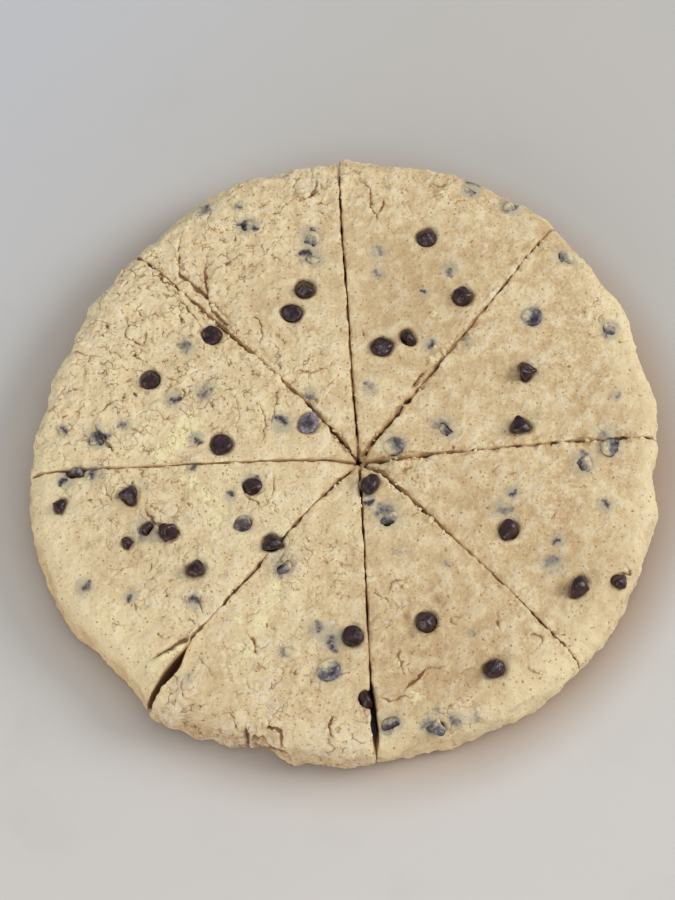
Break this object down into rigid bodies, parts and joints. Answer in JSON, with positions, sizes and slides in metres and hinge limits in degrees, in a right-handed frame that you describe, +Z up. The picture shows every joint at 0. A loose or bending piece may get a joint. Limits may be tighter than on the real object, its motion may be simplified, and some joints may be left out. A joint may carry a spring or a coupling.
{
  "type": "scone round",
  "caption": "Flat hand-patted round of chocolate chip scone dough, cut into wedges that still stand together, with chips set in its top.",
  "frame": {"origin": "middle of the resting face, at the centre of the round's bounding box", "axes": "+Z up out of the patted top, +Y away from the cook, +X to the cook's right"},
  "size_m": [0.1884, 0.1924, 0.023],
  "materials": {
    "dough": "matte",
    "chocolate": "satin"
  },
  "bodies": {
    "root": {"chip_ene_1": "chocolate", "chip_ene_2": "chocolate", "chip_ene_3": "chocolate", "chip_ene_4": "chocolate", "chip_ene_5": "chocolate", "chip_ene_6": "chocolate", "chip_ene_7": "chocolate", "chip_ese_1": "chocolate", "chip_ese_2": "chocolate", "chip_ese_3": "chocolate", "chip_ese_4": "chocolate", "chip_ese_5": "chocolate", "chip_nne_1": "chocolate", "chip_nne_2": "chocolate", "chip_nne_3": "chocolate", "chip_nne_4": "chocolate", "chip_nne_5": "chocolate", "chip_nne_6": "chocolate", "chip_nnw_1": "chocolate", "chip_nnw_2": "chocolate", "chip_nnw_3": "chocolate", "chip_nnw_4": "chocolate", "chip_nnw_5": "chocolate", "chip_sse_1": "chocolate", "chip_sse_2": "chocolate", "chip_sse_3": "chocolate", "chip_sse_4": "chocolate", "chip_sse_5": "chocolate", "chip_sse_6": "chocolate", "chip_sse_7": "chocolate", "chip_ssw_1": "chocolate", "chip_ssw_2": "chocolate", "chip_ssw_3": "chocolate", "chip_wnw_1": "chocolate", "chip_wnw_2": "chocolate", "chip_wnw_3": "chocolate", "chip_wnw_4": "chocolate", "chip_wnw_5": "chocolate", "chip_wsw_1": "chocolate", "chip_wsw_10": "chocolate", "chip_wsw_2": "chocolate", "chip_wsw_3": "chocolate", "chip_wsw_4": "chocolate", "chip_wsw_5": "chocolate", "chip_wsw_6": "chocolate", "chip_wsw_7": "chocolate", "chip_wsw_8": "chocolate", "chip_wsw_9": "chocolate", "wedge_ene": "dough", "wedge_ese": "dough", "wedge_nne": "dough", "wedge_nnw": "dough", "wedge_sse": "dough", "wedge_ssw": "dough", "wedge_wnw": "dough", "wedge_wsw": "dough"}
  },
  "joints": []
}
